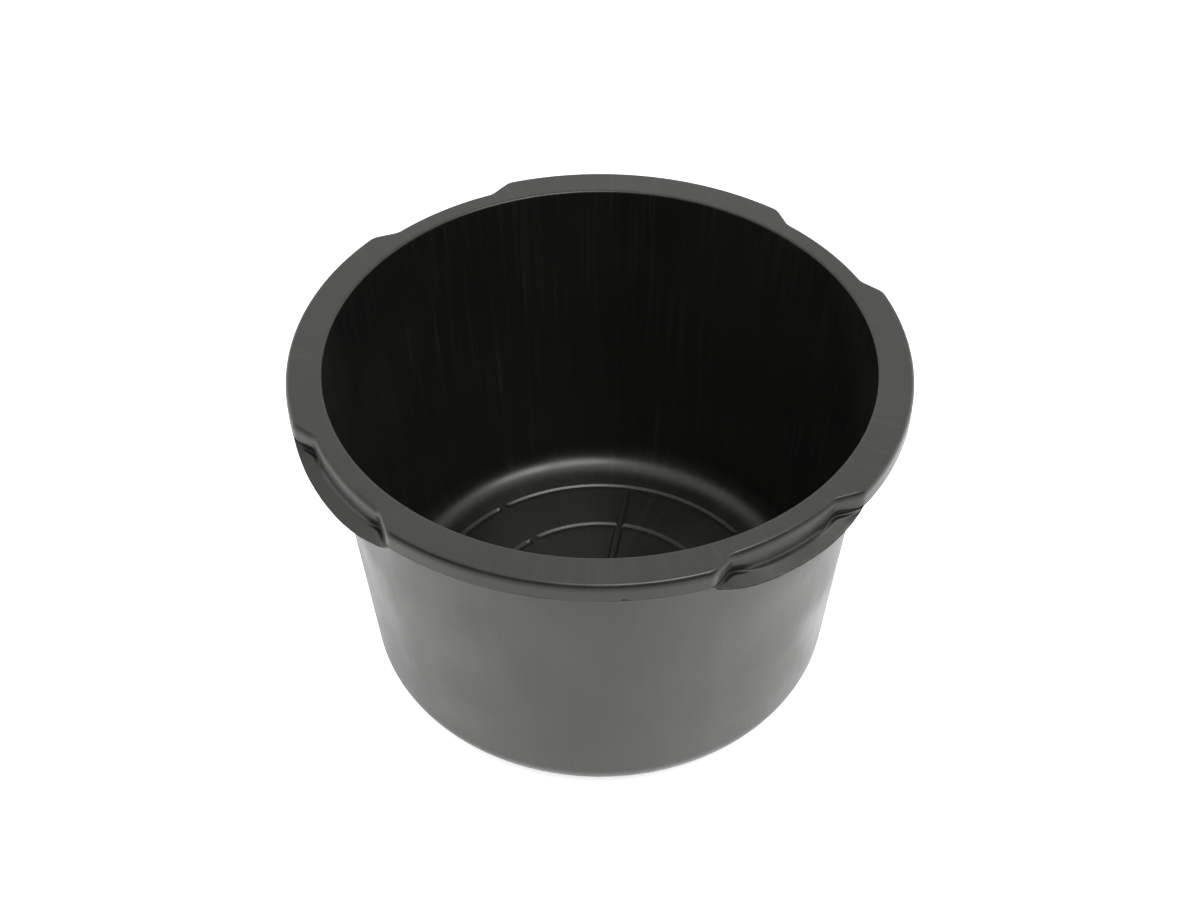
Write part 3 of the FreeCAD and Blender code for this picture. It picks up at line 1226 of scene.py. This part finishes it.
@dataclass
class RimShape:
    """Cross-section of the rim, which changes round the tub at the grips."""

    sizes: TubSizes
    grip_inset: float = 14.5 * MM
    grip_half: float = math.radians(16.2)
    grip_inner_half: float = math.radians(11.7)
    region_half: float = math.radians(17.5)
    bow_half: float = math.radians(16.3)
    bow_roundness: tuple[float, float] = (2.2, 0.65)
    lip_rise: float = 7.5 * MM
    lip_rise_fall: float = 0.45
    lip_clearance: float = 12 * MM
    slot_place: float = 0.74
    slot_reach: float = 0.2
    slot_top: float = 16 * MM
    slot_roof: float = 2 * MM
    slot_inset: float = 2.6 * MM
    slot_sill: float = 3 * MM
    slot_heel: float = 1.5 * MM
    slot_drop: float = 0.5 * MM
    slot_back: float = 1.8 * MM
    least_inset: float = 0.5 * MM
    inner_blend: float = 2.4 * MM
    outer_blend: float = 3.2 * MM
    lip_thickness: float = 3 * MM
    edge_across: float = 4.5 * MM
    edge_down: float = 8.2 * MM
    mouth_round: float = 3 * MM
    trim_round: float = 0.7 * MM
    trim_rub: float = 0.25
    mouth_rub: float = 0.7
    cove: float = 4.5 * MM
    cove_share: float = 0.45
    rag_height: float = 1.2 * MM
    rag_reach: float = 2 * MM
    rag_waves: tuple[tuple[int, float], ...] = ((23, 0.5), (61, 0.3), (149, 0.2))
    seed: int = 11
    shoulder_points: int = 6
    wall_points: int = 9
    bend_points: int = 15
    lip_points: int = 14
    back_points: int = 22
    edge_points: int = 10
    top_points: int = 14
    mouth_points: int = 8
    seat_points: int = 5
    nicks: tuple[Nick, ...] = (
        Nick(math.radians(-158.8), 2.2 * MM, 2.4 * MM),
        Nick(math.radians(-135.3), 1.8 * MM, 2.0 * MM),
        Nick(math.radians(-121.3), 2.4 * MM, 2.6 * MM),
        Nick(math.radians(-38.0), 1.4 * MM, 2.2 * MM),
        Nick(math.radians(52.0), 1.8 * MM, 2.4 * MM),
        Nick(math.radians(118.0), 1.6 * MM, 2.0 * MM))

    def local(self, angle: float) -> float:
        """Angle from the nearest grip's middle."""
        step = self.sizes.grip_step
        return (angle + step / 2) % step - step / 2

    def along(self, angle: float) -> float:
        """How far along a grip's half an angle is: 0 in its middle, 1 at its end and beyond."""
        return min(1.0, abs(self.local(angle)) / self.bow_half)

    def outline_r(self, angle: float) -> float:
        """Radius of the rim's outline, which steps in over each grip.

        Args:
            angle: Angle round the tub.

        Returns:
            The radius.
        """
        rim_r = self.sizes.rim_r
        stepped_r = rim_r - self.grip_inset
        away = abs(self.local(angle))
        low = stepped_r * np.array([math.cos(self.grip_inner_half), math.sin(self.grip_inner_half)])
        run = rim_r * np.array([math.cos(self.grip_half), math.sin(self.grip_half)]) - low
        cross = math.cos(away) * run[1] - math.sin(away) * run[0]
        side_r = (low[0] * run[1] - low[1] * run[0]) / cross if cross > 1e-6 else 2 * rim_r
        inner = -self.ease(-stepped_r, -min(side_r, 2 * rim_r), self.inner_blend)
        return self.ease(rim_r, inner, self.outer_blend)

    @staticmethod
    def ease(first: float, second: float, blend: float) -> float:
        """Lower of two values, rounded off where they cross."""
        share = max(blend - abs(first - second), 0.0) / blend
        return min(first, second) - share * share * blend / 4

    def bow_z(self, angle: float) -> float:
        """Height of the lower edge as moulded: the skirt's bottom, and the lip's bow at a grip.

        Args:
            angle: Angle round the tub.

        Returns:
            The height.
        """
        sizes = self.sizes
        fall, swell = self.bow_roundness
        bow = (1 - self.along(angle) ** fall) ** swell
        return sizes.skirt_bottom - (sizes.skirt_bottom - sizes.lip_bottom) * bow

    def trim_z(self, angle: float) -> float:
        """Height of the lower edge as trimmed."""
        return self.bow_z(angle) + self.rag(angle)

    def rag(self, angle: float) -> float:
        """Raggedness of the trimmed edge, always upwards.

        Args:
            angle: Angle round the tub.

        Returns:
            How far the edge stands above its moulded height.
        """
        value = 0.0
        for order, (count, share) in enumerate(self.rag_waves):
            value += share * (0.5 + 0.5 * math.sin(count * angle + self.seed * (order + 1.7)))
        rag = self.rag_height * value * value
        for nick in self.nicks:
            away = ((angle - nick.angle + math.pi) % math.tau - math.pi) * self.sizes.rim_r
            rag += nick.depth * math.exp(-(away / nick.width) ** 2)
        return rag

    def slot(self, angle: float) -> float:
        """Share of the dark slot that lies at the lip's foot towards both ends of a grip."""
        along = abs(self.local(angle)) / self.bow_half
        return math.exp(-((along - self.slot_place) / self.slot_reach) ** 2)

    def edge_inset(self, depth: float) -> float:
        """How far the rounded rim edge stands in from the outline, at a depth below the rim."""
        rise = max(0.0, 1 - depth / self.edge_down)
        return self.edge_across * (1 - math.sqrt(1 - rise * rise))

    def lip_underside(self, angle: float, radius: float) -> float:
        """Height of the lip's underside, from its foot out to the trimmed edge."""
        rise = self.lip_rise * (1 - self.lip_rise_fall * self.along(angle) ** 2)
        return self.bow_z(angle) + rise * (self.sizes.rim_r - radius) / self.grip_inset

    def inner_r(self, angle: float) -> float:
        """Radius of the skirt's inner face, square to the outline's slope.

        Args:
            angle: Angle round the tub.

        Returns:
            The radius.
        """
        radius = self.outline_r(angle)
        nudge = 1e-3
        slope = (self.outline_r(angle + nudge) - self.outline_r(angle - nudge)) / (2 * nudge) / radius
        return radius - self.sizes.skirt_thickness * math.hypot(1, slope)

    @staticmethod
    def spread(points: list[tuple[float, float]], count: int) -> np.ndarray:
        """Space points evenly along a polyline.

        Args:
            points: The polyline.
            count: Number of points wanted, ends included.

        Returns:
            The points, one row each.
        """
        line = np.array(points)
        run = np.concatenate([[0.0], np.cumsum(np.hypot(*np.diff(line, axis=0).T))])
        at = np.linspace(0, run[-1], count)
        return np.stack([np.interp(at, run, line[:, 0]), np.interp(at, run, line[:, 1])], 1)

    def foot_bend(self, foot: tuple[float, float], tip: tuple[float, float]) -> np.ndarray:
        """Round off the corner where the wall turns out into the lip.

        Args:
            foot: Radius and height of the corner.
            tip: Radius and height of the lip's moulded edge.

        Returns:
            The bend's points, from the wall to the lip.
        """
        run = np.subtract(tip, foot)
        length = math.hypot(*run)
        blend = min(self.cove, self.cove_share * length)
        before = np.array([foot[0], foot[1] + blend])
        after = foot + run * blend / max(length, 1e-9)
        share = np.linspace(0, 1, self.bend_points)[:, None]
        rest = 1 - share
        return rest * rest * before + 2 * rest * share * np.array(foot) + share * share * after

    def slot_path(self, foot: tuple[float, float]) -> np.ndarray:
        """Hollow out the wall above the lip's foot, with a sill on the lip.

        Args:
            foot: Radius and height of the corner between wall and lip.

        Returns:
            The hollow's points, as many as the bend has.
        """
        outer, foot_z = foot
        roof = max(self.sizes.height - self.slot_top, foot_z + self.slot_roof)
        back_r = outer - self.slot_inset
        low = foot_z - self.slot_drop
        return self.spread([(outer, roof), (back_r, foot_z + self.slot_heel), (back_r, low),
                            (outer + self.slot_sill, low)], self.bend_points)

    def hanging_section(self, angle: float) -> Section:
        """Cross-section of the skirt or grip below the flat rim.

        Args:
            angle: Angle round the tub.

        Returns:
            The section, down the outside and up the inside.
        """
        sizes = self.sizes
        top = sizes.rim_underside
        outer = self.outline_r(angle)
        inner = self.inner_r(angle)
        trim = self.trim_z(angle)
        corner = self.trim_round
        tip = (sizes.rim_r, self.bow_z(angle) + corner)
        root_z = min(self.lip_underside(angle, outer) + self.lip_thickness, top - self.lip_clearance)
        foot = (outer, max(root_z, trim + corner))
        bend = self.foot_bend(foot, tip)
        under = (inner, trim)
        if outer < sizes.rim_r - self.least_inset:
            share = self.slot(angle)
            bend += (self.slot_path(foot) - bend) * share
            under = (inner - self.slot_back * share, max(self.lip_underside(angle, inner), trim))
        depths = np.linspace(sizes.height - top, self.edge_down, self.shoulder_points)
        shoulder = np.array([(outer - self.edge_inset(depth), sizes.height - depth) for depth in depths])
        wall = self.spread([tuple(shoulder[-1]), tuple(bend[0])], self.wall_points)[1:-1]
        lip = self.spread([tuple(bend[-1]), tip], self.lip_points)[1:]
        lip[:, 1] += self.rag(angle) * smooth_step((lip[:, 0] - sizes.rim_r) / self.rag_reach + 1)
        turn = [(sizes.rim_r - corner * (1 - math.cos(a)), trim + corner * (1 - math.sin(a)))
                for a in (math.pi / 6, math.pi / 3, math.pi / 2)]
        back = self.spread([turn[-1], under, (inner, top)], self.back_points)[1:]
        face = np.concatenate([shoulder, wall, bend, lip])
        points = np.concatenate([face, turn, back])
        joint = np.zeros(len(points))
        joint[[0, -1]] = 1.0
        edge = np.zeros(len(points))
        edge[len(face) - 1:len(face) + len(turn)] = self.trim_rub
        return Section(points, joint, edge)

    def flange_section(self, angle: float) -> Section:
        """Cross-section of the flat rim.

        Args:
            angle: Angle round the tub.

        Returns:
            The section, from the outer edge over the top, down the mouth and back underneath.
        """
        sizes = self.sizes
        base, top = sizes.rim_underside, sizes.height
        outer = self.outline_r(angle)
        points = []
        start = math.asin(1 - (top - base) / self.edge_down)
        for turn in np.linspace(start, math.pi / 2, self.edge_points):
            points.append((outer - self.edge_across * (1 - math.cos(turn)),
                           top - self.edge_down * (1 - math.sin(turn))))
        mouth = sizes.wall_inner_r(top - self.mouth_round) + self.mouth_round * math.cos(sizes.draft)
        flat_r = outer - self.edge_across
        points.extend((radius, top) for radius in np.linspace(flat_r, mouth, self.top_points)[1:-1])
        for turn in np.linspace(math.pi / 2, math.pi - sizes.draft, self.mouth_points):
            points.append((mouth + self.mouth_round * math.cos(turn),
                           top - self.mouth_round * (1 - math.sin(turn))))
        wall = len(points)
        points.append((sizes.wall_inner_r(base), base))
        cove = TurnedRegions.cove
        cove_r = sizes.wall_outer_r(base - cove) + cove / math.cos(sizes.draft)
        seat = np.linspace(cove_r, self.inner_r(angle), self.seat_points)
        points.extend((radius, base) for radius in seat)
        joint = np.zeros(len(points))
        joint[[0, wall, wall + 1, -1]] = 1.0
        edge = np.zeros(len(points))
        edge[2:self.edge_points - 1] = 1.0
        edge[wall - self.mouth_points + 2:wall - 1] = self.mouth_rub
        return Section(np.array(points), joint, edge)


@dataclass
class RimPieces:
    """The flat rim, the skirts between the grips, and the grips."""

    shape: RimShape
    fine_step: float = math.radians(0.25)
    coarse_step: float = math.radians(0.5)

    def angles(self, start: float, end: float) -> np.ndarray:
        """Angles from one to another, closer together over a grip.

        Args:
            start: First angle.
            end: Last angle.

        Returns:
            The angles, ends included.
        """
        marks = [start]
        slack = 1e-6
        while marks[-1] < end - slack:
            over_grip = abs(self.shape.local(marks[-1] + slack)) < self.shape.region_half
            marks.append(min(marks[-1] + (self.fine_step if over_grip else self.coarse_step), end))
        return np.array(marks)

    @staticmethod
    def sweep(name: str, angles: np.ndarray, sections: list[Section], closed: bool) -> Object:
        """Join cross-sections round the tub into one closed solid.

        Args:
            name: The piece's name.
            angles: Angle of each section.
            sections: The sections, each with the same points in the same order.
            closed: Whether the last section meets the first.

        Returns:
            The piece.
        """
        rows = len(sections[0].points)
        columns = len(angles)
        points = []
        for angle, section in zip(angles, sections):
            for radius, z in section.points:
                points.append((radius * math.cos(angle), radius * math.sin(angle), z))
        faces: list[tuple[int, ...]] = []
        for column, after in ring_edges(columns)[:columns if closed else -1]:
            base = column * rows
            beside = after * rows
            for row, above in ring_edges(rows):
                faces.append((base + row, beside + row, beside + above, base + above))
        joint = np.concatenate([section.joint for section in sections])
        if not closed:
            last = (columns - 1) * rows
            faces.append(tuple(range(rows)))
            faces.append(tuple(reversed(range(last, last + rows))))
            joint[:rows] = 1.0
            joint[last:] = 1.0
        piece = link_mesh(name, np.array(points), faces)
        set_point_values(piece.data, "joint", joint)
        set_point_values(piece.data, "edge", np.concatenate([section.edge for section in sections]))
        mark_joint_faces(piece.data)
        return piece

    def make_flange(self) -> Object:
        """Build the flat top of the rim.

        Returns:
            The piece.
        """
        angles = self.angles(0.0, math.tau)[:-1]
        sections = [self.shape.flange_section(angle) for angle in angles]
        return self.sweep("rim_flange_shell", angles, sections, closed=True)

    def make_hanging(self, name: str, start: float, end: float) -> Object:
        """Build one skirt or one grip.

        Args:
            name: The piece's name.
            start: Its first angle.
            end: Its last angle.

        Returns:
            The piece.
        """
        angles = self.angles(start, end)
        sections = [self.shape.hanging_section(angle) for angle in angles]
        return self.sweep(name, angles, sections, closed=False)


@dataclass
class TrimBurrs:
    """Slivers of plastic left along the skirt's trimmed edge, scattered by Geometry Nodes."""

    shape: RimShape
    material: Material
    count: int = 150
    seed: int = 5
    length: float = 3.0 * MM
    width: float = 1.0 * MM
    kept_share: float = 0.45
    least_size: float = 0.35
    flatness: float = 0.8
    rise_share: float = 0.2
    edge_steps: int = 1440

    def tree(self) -> NodeTree:
        """Make the tree: points along the edge, with a sliver on some of them.

        Returns:
            The tree.
        """
        graph, given, out = new_group(
            "trim_burrs", "GeometryNodeTree",
            [("Edge", GEOMETRY, None), ("Count", COUNT, 100), ("Length", FLOAT, 0.002),
             ("Width", FLOAT, 0.0006), ("Seed", COUNT, 0), ("Finish", MATERIAL, None)],
            [("Mesh", GEOMETRY)])
        line = graph.node("GeometryNodeMeshToCurve", {"Mesh": given["Edge"]}).outputs[0]
        spots = graph.node("GeometryNodeCurveToPoints", {"Curve": line, "Count": given["Count"]},
                           mode="COUNT")
        sliver = graph.node("GeometryNodeMeshIcoSphere", {"Radius": 0.5, "Subdivisions": 2})
        chance = graph.node("FunctionNodeRandomValue", {"Seed": given["Seed"]}, data_type="FLOAT")
        next_seed = graph.math("ADD", given["Seed"], 1.0)
        size = graph.node("FunctionNodeRandomValue", {2: self.least_size, 3: 1.0, "Seed": next_seed},
                          data_type="FLOAT")
        stretch = graph.combine(given["Width"], graph.math("MULTIPLY", given["Width"], self.flatness),
                                given["Length"])
        copies = graph.node("GeometryNodeInstanceOnPoints", {
            "Points": spots.outputs["Points"], "Instance": sliver.outputs["Mesh"],
            "Selection": graph.math("LESS_THAN", chance.outputs[1], self.kept_share),
            "Rotation": spots.outputs["Rotation"],
            "Scale": graph.vector("SCALE", stretch, size.outputs[1])}).outputs[0]
        graph.feed(out["Mesh"], graph.dress(graph.realize(copies), given["Finish"]))
        return graph.tree

    def make(self) -> Object:
        """Build the burrs of the whole edge as one piece.

        Returns:
            The piece.
        """
        inset_r = self.shape.sizes.rim_r - self.shape.trim_round
        points = []
        for index in range(self.edge_steps):
            angle = math.tau * index / self.edge_steps
            z = self.shape.trim_z(angle) + self.width * self.rise_share
            points.append((inset_r * math.cos(angle), inset_r * math.sin(angle), z))
        piece = link_mesh("trim_burrs", np.array(points), [], ring_edges(self.edge_steps))
        apply_tree(piece, self.tree(), {"Count": self.count, "Length": self.length,
                                        "Width": self.width, "Seed": self.seed,
                                        "Finish": self.material})
        piece.data.polygons.foreach_set("use_smooth", [True] * len(piece.data.polygons))
        set_point_values(piece.data, "edge", np.ones(len(piece.data.vertices)))
        return piece


# ---------------------------------------------------------------------------------------------
# Studio
# ---------------------------------------------------------------------------------------------


@dataclass
class Studio:
    """Pale floor, soft light and the camera; azimuths are from -Y towards +X."""

    sizes: TubSizes
    azimuth: float = math.radians(-35.3)
    tilt: float = math.radians(43.59)
    distance: float = 2.101
    aim_height: float = 0.2695
    lens: float = 57.1
    floor_half: float = 9.0
    floor_grey: float = 0.9
    floor_glow: float = 0.76
    far_glow: float = 0.4
    bright_r: float = 0.5
    dim_r: float = 0.8
    sky_glow: float = 1.4
    dark_side: float = 0.12
    dark_top: float = 0.785
    dark_full: float = 0.735
    softbox_turn: float = math.radians(34)
    softbox_elevation: float = math.radians(61.5)
    softbox_distance: float = 2.2
    softbox_size: tuple[float, float] = (1.5, 0.8)
    softbox_glow: float = 9.3

    @staticmethod
    def direction(azimuth: float, elevation: float) -> Vector:
        """Direction from the tub to a place on the sky round it."""
        return Vector((math.sin(azimuth) * math.cos(elevation),
                       -math.cos(azimuth) * math.cos(elevation), math.sin(elevation)))

    def aim(self, piece: Object, back: Vector, distance: float, height: float) -> None:
        """Place a light or a camera so that it faces the tub's centre line.

        Args:
            piece: The light's or the camera's object.
            back: Direction from the tub to it.
            distance: How far away it is.
            height: Height on the centre line that it faces.
        """
        piece.location = back * distance + Vector((0, 0, height))
        piece.rotation_mode = "QUATERNION"
        piece.rotation_quaternion = back.to_track_quat("Z", "Y")

    def make_floor(self) -> None:
        """Lay the pale floor, lit from within like a light table."""
        half = self.floor_half
        corners = np.array([(-half, -half, 0.0), (half, -half, 0.0), (half, half, 0.0), (-half, half, 0.0)])
        floor = link_mesh("pale_floor", corners, [(0, 1, 2, 3)])
        material = bpy.data.materials.new("pale_floor")
        material.use_nodes = True
        shader = material.node_tree.nodes["Principled BSDF"]
        shader.inputs["Base Color"].default_value = (*[self.floor_grey] * 3, 1.0)
        shader.inputs["Roughness"].default_value = 0.9
        graph = Graph(material.node_tree)
        place = graph.node("ShaderNodeTexCoord").outputs["Object"]
        reach = graph.vector("LENGTH", place)
        glow = graph.span(reach, self.bright_r, self.dim_r, out_low=1.0, out_high=self.far_glow)
        graph.feed(shader.inputs["Emission Color"], glow)
        shader.inputs["Emission Strength"].default_value = self.floor_glow
        floor.data.materials.append(material)

    def make_sky(self) -> None:
        """Light the studio all round, but leave it dark low down on the camera's side."""
        world = bpy.data.worlds.new("studio")
        bpy.context.scene.world = world
        world.use_nodes = True
        graph = Graph(world.node_tree)
        background = world.node_tree.nodes["Background"]
        place = graph.node("ShaderNodeTexCoord").outputs["Generated"]
        front = graph.vector("DOT_PRODUCT", place, tuple(self.direction(self.azimuth, 0.0)))
        in_front = graph.span(front, low=0.0, high=0.5)
        low_down = graph.span(graph.parts(place)[2], self.dark_top, self.dark_full)
        dark = graph.math("MULTIPLY", in_front, low_down)
        light = graph.math("MULTIPLY_ADD", dark, self.dark_side - self.sky_glow, self.sky_glow)
        seen = graph.node("ShaderNodeLightPath").outputs["Is Camera Ray"]
        light = graph.math("MAXIMUM", light, graph.math("MULTIPLY", seen, self.sky_glow))
        graph.feed(background.inputs["Strength"], light)
        background.inputs["Color"].default_value = (1.0, 1.0, 1.0, 1.0)

    def make_softbox(self) -> None:
        """Hang the soft light, a rectangle that faces the tub."""
        width, height = self.softbox_size
        light = bpy.data.lights.new("main_softbox", "AREA")
        light.shape = "RECTANGLE"
        light.size = width
        light.size_y = height
        light.energy = self.softbox_glow * math.pi * width * height
        back = self.direction(self.azimuth + self.softbox_turn, self.softbox_elevation)
        self.aim(link_object("main_softbox", light), back, self.softbox_distance, self.sizes.height / 2)

    def make_camera(self) -> None:
        """Place the camera."""
        data = bpy.data.cameras.new("camera")
        data.lens = self.lens
        data.sensor_width = 36.0
        camera = link_object("camera", data)
        self.aim(camera, self.direction(self.azimuth, self.tilt), self.distance, self.aim_height)
        bpy.context.scene.camera = camera

    def make(self) -> None:
        """Set up the whole studio."""
        self.make_camera()
        self.make_floor()
        self.make_sky()
        self.make_softbox()
        bpy.context.scene.view_settings.view_transform = "Standard"


# ---------------------------------------------------------------------------------------------
# Build
# ---------------------------------------------------------------------------------------------


def main() -> None:
    """Build the tub region by region, in the frame's place, and the studio round it."""
    logging.basicConfig(level=logging.INFO, format="%(name)s: %(message)s")
    sizes = TubSizes.from_frame()
    Studio(sizes).make()

    groups = ShaderGroups()
    outside = OUTSIDE_FINISH.make(groups)
    inside = INSIDE_FINISH.make(groups)
    both = [outside, inside]

    turned = TurnedRegions(sizes, Lathe(both))
    finish_piece(turned.make_base_bend(), both, "base_bend")
    finish_piece(turned.make_side_wall(), both, "side_wall")
    for place, radius in (("inner", sizes.ring_inner_r), ("outer", sizes.ring_outer_r)):
        ring = turned.make_foot_ring(f"foot_ring_{place}_shell", radius)
        finish_piece(ring, both, f"foot_ring_{place}")
    finish_piece(FloorPanel(sizes).make(), both, "floor_panel", slot="black_plastic_inside")
    finish_piece(FootSpokes(sizes, outside).make(), [outside], "foot_spokes")

    shape = RimShape(sizes)
    rim = RimPieces(shape)
    finish_piece(rim.make_flange(), [outside], "rim_flange")
    for index in range(sizes.grip_count):
        start = index * sizes.grip_step - shape.region_half
        end = index * sizes.grip_step + shape.region_half
        grip = rim.make_hanging(f"hand_grip_shell_{index + 1}", start, end)
        finish_piece(grip, [outside], f"hand_grip_{index + 1}")
        next_start = index * sizes.grip_step + sizes.grip_step - shape.region_half
        skirt = rim.make_hanging(f"rim_skirt_shell_{index + 1}", end, next_start)
        finish_piece(skirt, [outside], f"rim_skirt_{index + 1}")
    finish_piece(TrimBurrs(shape, outside).make(), [outside])


if __name__ == "__main__":
    main()
